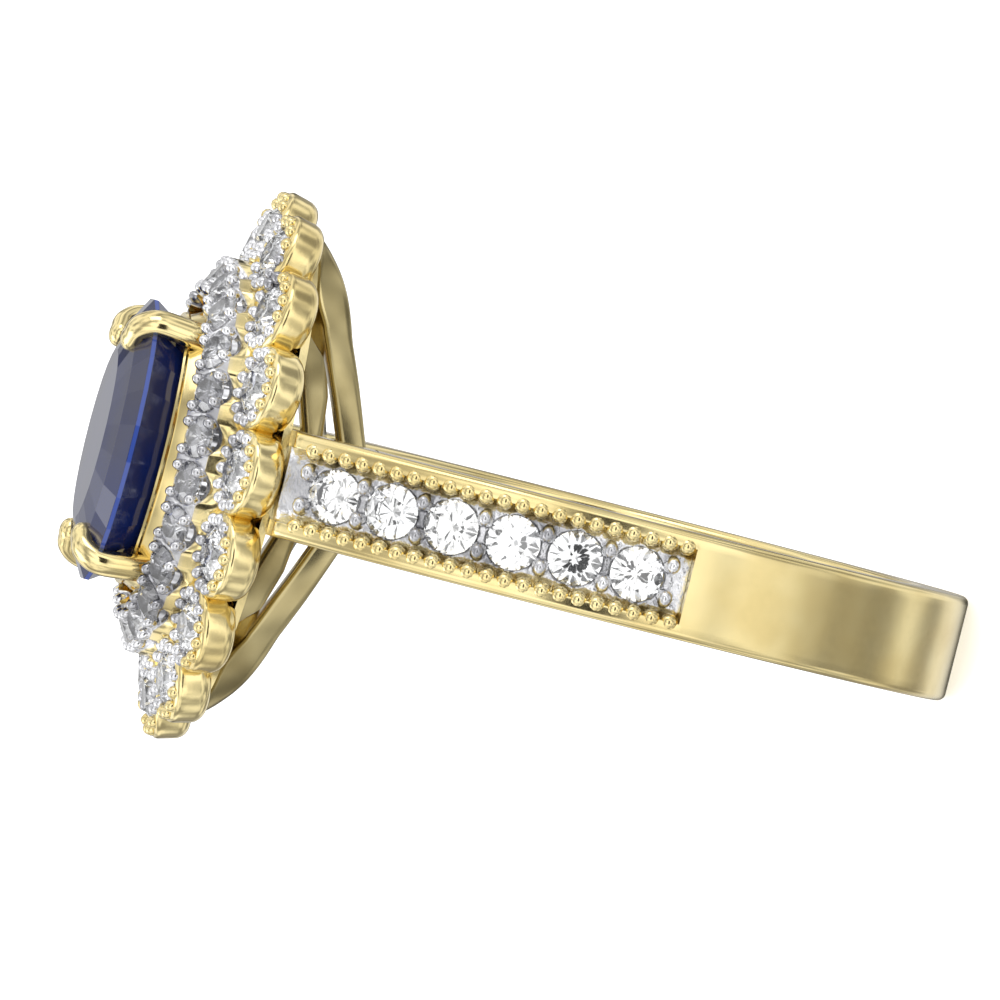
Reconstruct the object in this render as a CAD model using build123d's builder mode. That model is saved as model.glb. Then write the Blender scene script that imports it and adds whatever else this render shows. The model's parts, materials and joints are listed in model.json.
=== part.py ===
from build123d import *
from math import asin, cos, pi, radians, sin, sqrt, tan
import os

os.makedirs("parts", exist_ok=True)

# Oval cluster ring in millimetres. The origin is the centre of the finger hole, the finger
# axis is Y, +Z points to the head and X runs across the shoulders.

# --- Shank and shoulders ---
finger_bore_r = 8.65
shank_thickness = 1.6
shank_width = 3.0
shank_edge_r = 0.22
shank_r = finger_bore_r + shank_thickness
crease_z = -1.33
shoulder_arc_r = shank_r + 4.75
crease_groove_r = 0.06

# --- Bead-set channel in each shoulder ---
channel_width = 2.1
channel_depth = 0.8
channel_end_z = -1.05
plate_recess = 0.28
plate_clearance = 0.01
side_stone_d = 1.55
side_stone_pitch = 1.81
side_stone_count = 6
last_side_stone_z = 0.4
side_bead_r = 0.21
side_bead_spread = 0.47

# Every height of the head is counted from the finger hole, so a ring made to another finger
# size keeps its head on the shank.

# --- Gallery under the head ---
gallery_half_x = 4.4
gallery_half_y = 7.0
gallery_wire = 0.85
gallery_cap = 1.6
gallery_wire_height = 0.85
gallery_lift = 0.3027
gallery_low_z = sqrt(finger_bore_r**2 - gallery_half_x**2) + gallery_lift
gallery_slope = 0.37
gallery_bend_y = 4.4

# --- Outer halo of scalloped cups ---
head_z = finger_bore_r + 1.65
cup_count = 16
cup_r = 1.25
cup_height = 1.1
cup_bottom_r = 0.4
cup_tilt = 15
cup_face_z = head_z + 1.12
cup_stone_drop = 0.08
outer_oval_x = 5.65
outer_oval_y = 6.7
outer_stone_d = 1.55
plate_thickness = 0.55
plate_opening_x = 2.9
plate_opening_y = 3.9

# --- Inner halo ---
inner_stone_count = 22
inner_oval_x = 4.1
inner_oval_y = 5.1
inner_wall = 1.24
inner_tilt = 30
inner_face_z = head_z + 2.14
inner_stone_drop = 0.04
inner_stone_d = 1.2
inner_notch_r = 0.25
inner_bead_r = 0.16
inner_bead_out = (-0.46, 0.46)
inner_bead_along = (-0.39, 0.39)

# --- Centre stone and its setting ---
girdle_half_x = 3.05
girdle_half_y = 4.05
girdle_z = head_z + 3.7
girdle_band = 0.14
crown_height = 0.7
table_share = 0.6
pavilion_depth = 3.4
seat_top_z = head_z + 2.8
seat_rim = 0.14
claw_turn = 55
claw_r = 0.4
claw_tip_reach = 0.85
claw_foot_z = head_z + 1.6

# --- Fits ---
stone_clearance = 0.01
crown_share = 0.16
pavilion_share = 0.44


def save(piece, name):
    """Name one finished piece and write its STEP file."""
    piece.part.label = name
    export_step(piece.part, f"parts/{name}.step")


def ring_points(half_x, half_y, z, count, turn=0.0):
    """Corners of a level oval ring of facets."""
    return [
        (
            half_x * cos(2 * pi * (i + turn) / count),
            half_y * sin(2 * pi * (i + turn) / count),
            z,
        )
        for i in range(count)
    ]


def brilliant_points(diameter):
    """Corners of a round brilliant with its girdle at z = 0 and its table up."""
    r = diameter / 2
    crown = crown_share * diameter
    pavilion = pavilion_share * diameter
    band = 0.02 * diameter
    points = ring_points(0.56 * r, 0.56 * r, crown, 8)
    points += ring_points(0.79 * r, 0.79 * r, 0.58 * crown, 8, 0.5)
    points += ring_points(r, r, band, 16)
    points += ring_points(r, r, -band, 16)
    points += ring_points(0.42 * r, 0.42 * r, -0.605 * pavilion, 8, 0.5)
    points += [(0, 0, -pavilion)]
    return points


def oval_places(half_x, half_y, z, count, tilt):
    """Evenly spaced places round an oval, each leaning outwards by a tilt in degrees."""
    up = Vector(0, 0, 1)
    oval = Edge.make_ellipse(half_x, half_y)
    places = []
    for i in range(count):
        point = oval.position_at(i / count)
        along = oval.tangent_at(i / count)
        outwards = Vector(along.Y, -along.X, 0)
        slope = outwards * cos(radians(tilt)) - up * sin(radians(tilt))
        facing = up * cos(radians(tilt)) + outwards * sin(radians(tilt))
        places.append(Plane(Vector(point.X, point.Y, z), x_dir=slope, z_dir=facing))
    return places


# Each shoulder's arc starts at the crease, tangent to the band's outer circle.
crease_x = sqrt(shank_r**2 - crease_z**2)
arc_x = crease_x * (1 - shoulder_arc_r / shank_r)
arc_z = crease_z * (1 - shoulder_arc_r / shank_r)


def shoulder_place(side, angle, depth):
    """A place on one shoulder's arc, local Z pointing away from the finger."""
    reach = shoulder_arc_r - depth
    point = (side * (arc_x + reach * cos(angle)), 0, arc_z + reach * sin(angle))
    return Plane(point, x_dir=(0, 1, 0), z_dir=(side * cos(angle), 0, sin(angle)))


def shoulder_x(z, depth=0.0):
    """How far the shoulder's outer arc, or one set deeper, is from the ring's middle."""
    return arc_x + sqrt((shoulder_arc_r - depth) ** 2 - (z - arc_z) ** 2)


# ---------------------------------------------------------------- stone seats
# A seat is a cone for the pavilion under a straight cut for the girdle and crown.
def seat_cutter(diameter):
    r = diameter / 2 + stone_clearance
    deep = pavilion_share * diameter + 0.06
    bearing = 0.02 * diameter + stone_clearance
    with BuildPart() as cutter:
        with BuildSketch(Plane.XZ):
            with BuildLine():
                Polyline((0, -deep), (0.45 * r, -0.62 * deep), (r, -bearing))
                Polyline((r, -bearing), (r, 0.4 * diameter), (0, 0.4 * diameter), (0, -deep))
            make_face()
        revolve(axis=Axis.Z)
    return cutter


side_seat = seat_cutter(side_stone_d)
outer_seat = seat_cutter(outer_stone_d)
inner_seat = seat_cutter(inner_stone_d)

# Where the shoulder stones and their beads lie, counted from the last stone up to the head.
first_angle = asin((last_side_stone_z - arc_z) / shoulder_arc_r)
stone_step = side_stone_pitch / shoulder_arc_r
bead_angles = [first_angle + (i - 0.5) * stone_step for i in range(side_stone_count + 1)]


def side_stone_places(side):
    return [
        shoulder_place(side, first_angle + i * stone_step, plate_recess)
        for i in range(side_stone_count)
    ]


def channel_face(top_depth, bottom_depth, low_z, high_z):
    """Side view of a strip that follows the right shoulder's arc between two depths."""
    with BuildSketch(Plane.XZ) as strip:
        with BuildLine():
            mid_z = (low_z + high_z) / 2
            outer_low = (shoulder_x(low_z, top_depth), low_z)
            outer_mid = (shoulder_x(mid_z, top_depth), mid_z)
            outer_high = (shoulder_x(high_z, top_depth), high_z)
            inner_low = (shoulder_x(low_z, bottom_depth), low_z)
            inner_mid = (shoulder_x(mid_z, bottom_depth), mid_z)
            inner_high = (shoulder_x(high_z, bottom_depth), high_z)
            ThreePointArc(outer_low, outer_mid, outer_high)
            Line(outer_high, inner_high)
            ThreePointArc(inner_high, inner_mid, inner_low)
            Line(inner_low, outer_low)
        make_face()
    return strip


# ---------------------------------------------------------------- shank
# The band follows the finger round the back and swells into a fuller arc on each shoulder,
# with a fine groove across it at the crease where the plain band begins.
with BuildPart() as shank:
    with BuildSketch(Plane.XZ):
        with BuildLine():
            foot = (shoulder_x(crease_z), crease_z)
            middle = (shoulder_x(head_z / 2), head_z / 2)
            top = (shoulder_x(head_z), head_z)
            ThreePointArc(foot, middle, top)
            Line(top, (-top[0], head_z))
            ThreePointArc((-top[0], head_z), (-middle[0], middle[1]), (-foot[0], crease_z))
            ThreePointArc((-foot[0], crease_z), (0, -shank_r), foot)
        make_face()
        Circle(finger_bore_r, mode=Mode.SUBTRACT)
    extrude(amount=shank_width / 2, both=True)
    outline = [
        edge
        for edge in shank.edges()
        if edge.geom_type == GeomType.CIRCLE
    ]
    fillet(outline, shank_edge_r)
    with Locations((crease_x, 0, crease_z), (-crease_x, 0, crease_z)):
        Cylinder(crease_groove_r, 2 * shank_width, rotation=(90, 0, 0), mode=Mode.SUBTRACT)
    # The head's gallery fits between the two arms.
    with BuildSketch(Plane.XY.offset(finger_bore_r / 2)):
        Ellipse(gallery_half_x, gallery_half_y)
    extrude(amount=head_z, mode=Mode.SUBTRACT)
    # One channel per shoulder, closed at the crease and open at the head.
    channel = channel_face(-0.2, channel_depth, channel_end_z, head_z + 0.5)
    for face in (channel.sketch, channel.sketch.mirror(Plane.YZ)):
        extrude(face, amount=channel_width / 2, both=True, mode=Mode.SUBTRACT)
    for side in (1, -1):
        with Locations(*side_stone_places(side)):
            add(side_seat.part, mode=Mode.SUBTRACT)
save(shank, "shank")

# ---------------------------------------------------------------- bead plates
# The rhodium-finished floor of each channel, with a seat per stone and a pair of beads
# between neighbours.
for side, name in ((1, "right"), (-1, "left")):
    with BuildPart() as bead_plate:
        strip = channel_face(
            plate_recess, channel_depth - plate_clearance, channel_end_z + plate_clearance, head_z
        )
        face = strip.sketch if side == 1 else strip.sketch.mirror(Plane.YZ)
        extrude(face, amount=channel_width / 2 - plate_clearance, both=True)
        with Locations(*side_stone_places(side)):
            add(side_seat.part, mode=Mode.SUBTRACT)
        for angle in bead_angles:
            place = shoulder_place(side, angle, plate_recess)
            with Locations(place):
                with GridLocations(2 * side_bead_spread, 0, 2, 1):
                    Sphere(side_bead_r)
    save(bead_plate, f"bead_plate_{name}")
    for i, place in enumerate(side_stone_places(side)):
        with BuildPart() as diamond:
            with Locations(place):
                ConvexPolyhedron(brilliant_points(side_stone_d))
        save(diamond, f"side_diamond_{name}_{i + 1}")

# ---------------------------------------------------------------- gallery
# A saddle-shaped loop: two wires rise from the shank and join in a wide cap at each end,
# which turns up to meet the cups.
gallery_bend_z = gallery_low_z + gallery_slope * (gallery_bend_y - shank_width / 2)
gallery_mid_z = gallery_low_z - gallery_slope * shank_width / 2
with BuildPart() as gallery:
    with BuildSketch(Plane.XY.offset(finger_bore_r / 2)):
        Ellipse(gallery_half_x, gallery_half_y)
        Ellipse(gallery_half_x - gallery_wire, gallery_half_y - gallery_cap, mode=Mode.SUBTRACT)
    extrude(amount=head_z)
    with BuildSketch(Plane.YZ):
        with BuildLine():
            cap_turn = (gallery_half_y - 1.1, gallery_bend_z + 0.36)
            cap_tip = (gallery_half_y + 0.1, head_z)
            Line((0, gallery_mid_z), (gallery_bend_y, gallery_bend_z))
            Spline((gallery_bend_y, gallery_bend_z), cap_turn, cap_tip)
            Line(cap_tip, (gallery_half_y - gallery_cap - 0.3, head_z))
            rise_foot = (gallery_bend_y - 0.1, gallery_bend_z + gallery_wire_height)
            Line((gallery_half_y - gallery_cap - 0.3, head_z), rise_foot)
            Line(rise_foot, (0, gallery_mid_z + gallery_wire_height))
            Line((0, gallery_mid_z + gallery_wire_height), (0, gallery_mid_z))
        make_face()
        mirror(about=Plane.YZ)
    extrude(amount=gallery_half_x + 1, both=True, mode=Mode.INTERSECT)
    with Locations(Rotation(90, 0, 0)):
        Cylinder(finger_bore_r, 4 * gallery_half_y, mode=Mode.SUBTRACT)
save(gallery, "gallery")

# ---------------------------------------------------------------- outer halo
# Every cup leans outwards, so the halo falls away from the centre stone.
cup_places = oval_places(outer_oval_x, outer_oval_y, cup_face_z, cup_count, cup_tilt)
outer_places = [place.offset(-cup_stone_drop) for place in cup_places]
with BuildPart() as cup:
    with BuildSketch(Plane.XZ):
        with BuildLine():
            Line((0, 0), (cup_r - cup_bottom_r, 0))
            RadiusArc((cup_r - cup_bottom_r, 0), (cup_r, cup_bottom_r), -cup_bottom_r)
            Polyline((cup_r, cup_bottom_r), (cup_r, cup_height), (0, cup_height), (0, 0))
        make_face()
    revolve(axis=Axis.Z)

with BuildPart() as halo_frame:
    with BuildSketch(Plane.XY.offset(head_z)):
        Ellipse(outer_oval_x + 0.2, outer_oval_y + 0.2)
    extrude(amount=plate_thickness)
    with Locations(*[place.offset(-cup_height) for place in cup_places]):
        add(cup.part)
    # The cups are filed flat where they stand on the gallery and the two arms.
    with BuildSketch(Plane.XY.offset(head_z)):
        Ellipse(gallery_half_x, gallery_half_y)
        Rectangle(4 * gallery_half_x, shank_width)
    extrude(amount=-cup_height, mode=Mode.SUBTRACT)
    with BuildSketch(Plane.XY.offset(head_z)):
        Ellipse(plate_opening_x, plate_opening_y)
    extrude(amount=cup_height + 1, mode=Mode.SUBTRACT)
    # Room for the inner halo's foot, which stands on the plate inside the cups.
    with BuildSketch(Plane.XY.offset(head_z + plate_thickness)):
        Ellipse(inner_oval_x + inner_wall / 2, inner_oval_y + inner_wall / 2)
    extrude(amount=cup_height, mode=Mode.SUBTRACT)
    with Locations(*outer_places):
        add(outer_seat.part, mode=Mode.SUBTRACT)
save(halo_frame, "halo_frame")

for i, place in enumerate(outer_places):
    with BuildPart() as diamond:
        with Locations(place):
            ConvexPolyhedron(brilliant_points(outer_stone_d))
    save(diamond, f"outer_diamond_{i + 1:02d}")

# ---------------------------------------------------------------- inner halo
# A raised ring whose face slopes outwards, with a notch cut down beside each stone and two
# small beads per gap.
inner_ring_places = oval_places(
    inner_oval_x, inner_oval_y, inner_face_z, inner_stone_count, inner_tilt
)
inner_places = [place.offset(-inner_stone_drop) for place in inner_ring_places]
inner_foot_z = head_z + plate_thickness
half_wall = inner_wall / 2
outer_edge_z = inner_face_z - half_wall * tan(radians(inner_tilt))
# The slope is carried a little past the inner wall, which is cut afterwards.
past_wall = half_wall + 0.1
past_wall_z = inner_face_z + past_wall * tan(radians(inner_tilt))
with BuildPart() as inner_halo:
    with BuildSketch(Plane.XY.offset(inner_foot_z)):
        Ellipse(inner_oval_x + half_wall, inner_oval_y + half_wall)
    extrude(amount=outer_edge_z - inner_foot_z)
    with BuildSketch(Plane.XY.offset(outer_edge_z)):
        Ellipse(inner_oval_x + half_wall, inner_oval_y + half_wall)
    with BuildSketch(Plane.XY.offset(past_wall_z)):
        Ellipse(inner_oval_x - past_wall, inner_oval_y - past_wall)
    loft()
    with BuildSketch(Plane.XY.offset(inner_foot_z)):
        Ellipse(inner_oval_x - half_wall, inner_oval_y - half_wall)
    extrude(amount=past_wall_z, mode=Mode.SUBTRACT)
    bead_spots = [(out, along, 0) for out in inner_bead_out for along in inner_bead_along]
    with Locations(*inner_ring_places):
        with Locations(*bead_spots):
            Sphere(inner_bead_r)
    with Locations(*inner_places):
        add(inner_seat.part, mode=Mode.SUBTRACT)
        with Locations(Location((0, 0, 0.04), (0, 90, 0))):
            Cylinder(inner_notch_r, 2 * inner_wall, mode=Mode.SUBTRACT)
save(inner_halo, "inner_halo")

for i, place in enumerate(inner_places):
    with BuildPart() as diamond:
        with Locations(place):
            ConvexPolyhedron(brilliant_points(inner_stone_d))
    save(diamond, f"inner_diamond_{i + 1:02d}")


# ---------------------------------------------------------------- centre stone
def sapphire_points(grow):
    """Corners of the step-cut oval stone, made larger all round by a clearance."""
    half_x = girdle_half_x + grow
    half_y = girdle_half_y + grow
    steps = (
        (table_share, crown_height + grow),
        (0.84, 0.62 * crown_height + grow),
        (1.0, girdle_band / 2),
        (1.0, -girdle_band / 2),
        (0.86, -0.27 * pavilion_depth - grow),
        (0.62, -0.58 * pavilion_depth - grow),
        (0.3, -0.86 * pavilion_depth - grow),
    )
    points = []
    for share, height in steps:
        points += ring_points(share * half_x, share * half_y, girdle_z + height, 24, 0.5)
    keel = 0.3 * (half_y - half_x)
    points += [(0, keel, girdle_z - pavilion_depth - grow)]
    points += [(0, -keel, girdle_z - pavilion_depth - grow)]
    return points


with BuildPart() as sapphire:
    ConvexPolyhedron(sapphire_points(0))
save(sapphire, "sapphire")

# ---------------------------------------------------------------- centre setting
# Four claws rise from the collet and bend over the crown. One is swept, then mirrored.
turn = radians(claw_turn)
girdle_point = Vector(girdle_half_x * cos(turn), girdle_half_y * sin(turn), girdle_z)
outwards = Vector(cos(turn) / girdle_half_x, sin(turn) / girdle_half_y, 0).normalized()
upright = Plane(girdle_point, x_dir=outwards, z_dir=outwards.cross(Vector(0, 0, 1)))
with BuildPart() as claws:
    with BuildLine(upright) as spine:
        Spline(
            (-0.1, claw_foot_z - girdle_z),
            (0.12, -0.7),
            (0.14, 0.02),
            (-0.2, 0.42),
            (-claw_tip_reach, 0.72 * crown_height),
        )
    with BuildSketch(Plane(spine.line @ 0, z_dir=spine.line % 0)):
        Circle(claw_r)
    sweep(path=spine.line)
    with Locations(spine.line @ 1):
        Sphere(claw_r)
    ConvexPolyhedron(sapphire_points(stone_clearance), mode=Mode.SUBTRACT)
    mirror(about=Plane.XZ)
    mirror(about=Plane.YZ)

# A tapered oval collet with a thin rim holds the pavilion and carries the claws.
with BuildPart() as centre_setting:
    with BuildSketch(Plane.XY.offset(head_z + plate_thickness)):
        Ellipse(inner_oval_x - inner_wall / 2, inner_oval_y - inner_wall / 2)
    with BuildSketch(Plane.XY.offset(seat_top_z)):
        Ellipse(girdle_half_x - 0.25, girdle_half_y - 0.25)
    loft()
    with BuildSketch(Plane.XY.offset(seat_top_z - seat_rim)):
        Ellipse(girdle_half_x - 0.14, girdle_half_y - 0.14)
    extrude(amount=seat_rim)
    with BuildSketch(Plane.XY.offset(head_z + plate_thickness)):
        Ellipse(plate_opening_x - 0.1, plate_opening_y - 0.1)
    with BuildSketch(Plane.XY.offset(seat_top_z - 0.5)):
        Ellipse(girdle_half_x - 0.75, girdle_half_y - 0.75)
    loft(mode=Mode.SUBTRACT)
    ConvexPolyhedron(sapphire_points(stone_clearance), mode=Mode.SUBTRACT)
    add(claws.part)
save(centre_setting, "centre_setting")
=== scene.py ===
# %% [markdown]
# # An oval cluster ring, finished in Blender
# The ring arrives as an exact frame: band, gallery, halos, setting and stones, all in place.
# Blender keeps every faceted stone and rebuilds the metal with smooth, worked surfaces,
# because polished gold shows each flat of a coarse mesh.

import json
from math import acos, asin, atan2, cos, pi, radians, sin, sqrt

import bmesh
import bpy
from mathutils import Matrix, Vector


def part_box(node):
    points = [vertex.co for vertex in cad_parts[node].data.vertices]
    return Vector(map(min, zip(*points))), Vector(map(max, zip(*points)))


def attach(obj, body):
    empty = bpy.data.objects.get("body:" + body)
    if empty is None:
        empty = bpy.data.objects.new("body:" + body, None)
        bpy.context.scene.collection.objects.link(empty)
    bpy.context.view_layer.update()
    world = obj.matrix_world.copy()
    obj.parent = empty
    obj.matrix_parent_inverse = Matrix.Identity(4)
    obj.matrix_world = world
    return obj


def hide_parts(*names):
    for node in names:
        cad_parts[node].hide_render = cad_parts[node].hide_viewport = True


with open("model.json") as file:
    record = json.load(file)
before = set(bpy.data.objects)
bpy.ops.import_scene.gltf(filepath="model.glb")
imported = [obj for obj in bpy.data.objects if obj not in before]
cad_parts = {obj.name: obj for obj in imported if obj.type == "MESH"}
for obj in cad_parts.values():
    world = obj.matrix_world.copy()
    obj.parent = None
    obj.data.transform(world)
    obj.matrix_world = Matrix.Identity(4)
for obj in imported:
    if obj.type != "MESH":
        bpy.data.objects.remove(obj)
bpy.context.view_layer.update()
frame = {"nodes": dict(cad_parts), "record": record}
MM = 0.001
print("nodes in the frame:", len(frame["nodes"]))

# %% [markdown]
# Where a part's box gives a size, the size is read from the frame. What lies inside a box,
# such as a channel, a lean or a wall, can't be read from it. Those design sizes are repeated
# as named values in the step that uses them, and change along with the frame by hand.

# %% Sizes from the frame, in millimetres
def box_mm(node):
    """Lowest and highest corner of a node in millimetres."""
    low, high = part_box(node)
    return Vector(low) / MM, Vector(high) / MM


shank_low, shank_high = box_mm("shank")
frame_low = box_mm("halo_frame")[0]
inner_low = box_mm("inner_halo")[0]
gallery_high = box_mm("gallery")[1]
sapphire_high = box_mm("sapphire")[1]
plate_low, plate_high = box_mm("bead_plate_right")

BORE_R = frame["record"]["mounts"][0]["dims"]["r_mm"]
BAND_R = -shank_low.z
BAND_HALF = shank_high.y
HEAD_Z = frame_low.z
print("bore", BORE_R, "band radius", round(BAND_R, 3), "head starts at", round(HEAD_Z, 3))


def middle(node):
    low, high = box_mm(node)
    return (low + high) / 2


# %% [markdown]
# Both halos lean outwards like the roof of a tent: the cups a little, the inner ring more.
# A place holds a point on the oval and three directions there: down the slope, round the
# oval and straight out of the leaning face.

# %% Places round the halos
OUTER_X, OUTER_Y, CUP_FACE_Z, CUP_TILT = 5.65, 6.7, 11.42, radians(15)
INNER_X, INNER_Y, INNER_FACE_Z, INNER_TILT = 4.1, 5.1, 12.44, radians(30)
CUP_COUNT, INNER_COUNT = 16, 22


def oval_walk(half_x, half_y, count):
    """Evenly spaced angles round an oval, from the +Y end, where the first stone sits."""
    fine = 7200
    angles = [pi / 2 + 2 * pi * i / fine for i in range(fine + 1)]
    lengths = [0.0]
    for a, b in zip(angles, angles[1:]):
        step_x = half_x * (cos(b) - cos(a))
        step_y = half_y * (sin(b) - sin(a))
        lengths.append(lengths[-1] + sqrt(step_x**2 + step_y**2))
    found, k = [], 0
    for i in range(count):
        goal = lengths[-1] * i / count
        while lengths[k + 1] < goal:
            k += 1
        part = (goal - lengths[k]) / (lengths[k + 1] - lengths[k])
        found.append(angles[0] + 2 * pi * (k + part) / fine)
    return found, lengths[-1]


def oval_outwards(point, half_x, half_y):
    """Level direction straight out of an oval at one of its points."""
    return Vector((point.x / half_x**2, point.y / half_y**2, 0)).normalized()


def halo_places(half_x, half_y, z, tilt, count):
    """Places as (point, down the slope, round the oval, out of the face)."""
    places = []
    for angle in oval_walk(half_x, half_y, count)[0]:
        point = Vector((half_x * cos(angle), half_y * sin(angle), z))
        out = oval_outwards(point, half_x, half_y)
        around = Vector((-out.y, out.x, 0))
        slope = out * cos(tilt) - Vector((0, 0, sin(tilt)))
        facing = out * sin(tilt) + Vector((0, 0, cos(tilt)))
        places.append((point, slope, around, facing))
    return places


cup_places = halo_places(OUTER_X, OUTER_Y, CUP_FACE_Z, CUP_TILT, CUP_COUNT)
inner_places = halo_places(INNER_X, INNER_Y, INNER_FACE_Z, INNER_TILT, INNER_COUNT)
for title, places in (("outer", cup_places), ("inner", inner_places)):
    gaps = [(middle(f"{title}_diamond_{i + 1:02d}") - p[0]).length for i, p in enumerate(places)]
    print(title, "stones lie within", round(max(gaps), 2), "mm of their places")

# %% [markdown]
# ## Shader sums
# Node graphs are easier to read as sums. This small class wraps a socket, so that
# `1 - mask * 0.5` adds the Math nodes by itself.

# %% A socket that can be used in sums
class Wire:
    def __init__(self, tree, socket):
        self.tree = tree
        self.socket = socket

    def _math(self, operation, first, second):
        return add_node(self.tree, "ShaderNodeMath", {"operation": operation}, {0: first, 1: second})

    def __add__(self, other):
        return self._math("ADD", self, other)

    def __radd__(self, other):
        return self._math("ADD", other, self)

    def __sub__(self, other):
        return self._math("SUBTRACT", self, other)

    def __rsub__(self, other):
        return self._math("SUBTRACT", other, self)

    def __mul__(self, other):
        return self._math("MULTIPLY", self, other)

    def __rmul__(self, other):
        return self._math("MULTIPLY", other, self)

    def __pow__(self, other):
        return self._math("POWER", self, other)

    def most(self, other):
        return self._math("MAXIMUM", self, other)

    def out(self, name):
        """Another output of the same node."""
        return Wire(self.tree, self.socket.node.outputs[name])


def add_node(tree, kind, settings=None, values=None):
    """One node: its settings first, then the values or links of its sockets."""
    node = tree.nodes.new(kind)
    for name, value in (settings or {}).items():
        setattr(node, name, value)
    for key, value in (values or {}).items():
        socket = node.inputs[key]
        if isinstance(value, Wire):
            tree.links.new(value.socket, socket)
        else:
            socket.default_value = value
    shown = [o for o in node.outputs if o.enabled]
    return Wire(tree, shown[0]) if shown else node


def soft_step(value, low, high):
    """0 below low, 1 above high, with a smooth change between."""
    settings = {"interpolation_type": "SMOOTHSTEP"}
    return add_node(value.tree, "ShaderNodeMapRange", settings, {0: value, 1: low, 2: high, 3: 0.0, 4: 1.0})


def mix_colours(factor, first, second):
    tree = factor.tree
    node = tree.nodes.new("ShaderNodeMix")
    node.data_type = "RGBA"
    tree.links.new(factor.socket, node.inputs[0])
    for slot, colour in ((6, first), (7, second)):
        if isinstance(colour, Wire):
            tree.links.new(colour.socket, node.inputs[slot])
        else:
            node.inputs[slot].default_value = (*colour, 1)
    return Wire(tree, node.outputs[2])


def new_material(name, constants):
    """A material with one Principled shader, its constants set on the shader's own sockets."""
    material = bpy.data.materials.new(name)
    material.use_nodes = True
    tree = material.node_tree
    shader = tree.nodes["Principled BSDF"]
    for socket, value in constants.items():
        shader.inputs[socket].default_value = value
    return material, tree, shader


def noise(tree, scale, detail=3.0, roughness=0.55, stretch=(1, 1, 1), seed=0.0):
    place = add_node(tree, "ShaderNodeTexCoord").out("Object")
    spread = add_node(
        tree, "ShaderNodeMapping", None, {"Vector": place, "Scale": stretch, "Location": (seed, seed, seed)}
    )
    values = {"Vector": spread, "Scale": scale, "Detail": detail, "Roughness": roughness}
    return add_node(tree, "ShaderNodeTexNoise", None, values)


# %% [markdown]
# ## The metals
# The ring is one gold alloy. The bead-set parts are plated white with rhodium, which fades
# out over an edge. Each mesh carries a number called plating, 0 for bare gold and 1 for
# rhodium, and one recipe mixes the two colours by it. Buffing leaves fine lines and soft
# dips that only show in the highlights, so they go to roughness and a very small bump.

# %% Metal recipe
GOLD = (0.88, 0.74, 0.38)
DEEP_GOLD = (0.80, 0.64, 0.29)
WHITE = (0.88, 0.88, 0.90)
GREY = (0.34, 0.34, 0.36)


def metal(name, rough=0.12, plated=None, dips=0.02, pits=0.0, shade=1.0, strength=0.35):
    """Polished gold, rhodium over gold where plating says so, with buffing marks. A shade below 1 paints
    the gold colour darker, as painted shade.
    """
    material, tree, shader = new_material(name, {"Metallic": 1.0})
    cloud = noise(tree, 420.0, detail=2.0)
    fine = noise(tree, 5200.0, detail=4.0, seed=3.0)
    tone = soft_step(cloud, 0.35, 0.7)
    gold = mix_colours(tone, [c * shade for c in GOLD], [c * shade**1.6 for c in DEEP_GOLD])
    white = mix_colours(tone, WHITE, GREY)
    if plated is None:
        plating = add_node(tree, "ShaderNodeAttribute", {"attribute_name": "plating"}).out("Fac")
        colour = mix_colours(soft_step(plating, 0.25, 0.75), gold, white)
    else:
        colour = white if plated else gold
    tree.links.new(colour.socket, shader.inputs["Base Color"])
    roughness = rough + 0.1 * (fine - 0.5) + 0.05 * tone
    tree.links.new(roughness.socket, shader.inputs["Roughness"])
    height = dips * cloud + pits * fine
    values = {"Height": height, "Strength": strength, "Distance": 0.00004}
    bump = add_node(tree, "ShaderNodeBump", None, values)
    tree.links.new(bump.socket, shader.inputs["Normal"])
    return material


polished_gold = metal("polished_gold", plated=False)
band_gold = metal("band_gold", rough=0.17, plated=False, dips=0.9)
# The gallery wires' gold is painted darker with shade 0.52: painted shade.
shaded_wire_gold = metal("shaded_wire_gold", rough=0.2, plated=False, dips=0.3, shade=0.52)
white_rhodium = metal("white_rhodium", rough=0.2, plated=True, pits=0.9, strength=1.0)
bead_rhodium = metal("bead_rhodium", rough=0.2, plated=True, shade=1.0)
plated_gold = metal("plated_gold", rough=0.14, pits=0.2)
print("metals:", polished_gold.name, white_rhodium.name, plated_gold.name)

# %% [markdown]
# ## The stones
# Diamond is clear and bends light very strongly, so its facets flash white and dark. The
# sapphire is so deep that little light comes back through it: the colour is set mostly by
# what its flat steps mirror, so it gets a dark blue body under a clear bright surface.

# %% Stone materials
# The diamonds also glow faintly through a small white emission: painted light that brightens them.
diamond_material, tree, shader = new_material(
    "clear_diamond",
    {"IOR": 2.42, "Transmission Weight": 1.0, "Roughness": 0.0, "Emission Strength": 0.01},
)
tint = soft_step(noise(tree, 900.0, detail=1.0), 0.3, 0.7)
stone_white = mix_colours(tint, (0.97, 0.98, 1.0), (0.90, 0.90, 0.88))
tree.links.new(stone_white.socket, shader.inputs["Base Color"])
shader.inputs["Emission Color"].default_value = (0.95, 0.97, 1.0, 1)

sapphire_material, tree, shader = new_material("deep_sapphire", {"IOR": 1.72})
zone = soft_step(noise(tree, 260.0, detail=2.0, stretch=(1, 1, 3)), 0.35, 0.7)
stone_blue = mix_colours(zone, (0.006, 0.014, 0.085), (0.024, 0.026, 0.062))
place = add_node(tree, "ShaderNodeTexCoord").out("Object")
up_mm = add_node(tree, "ShaderNodeSeparateXYZ", None, {0: place}).out("Z") * 1000.0
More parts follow.
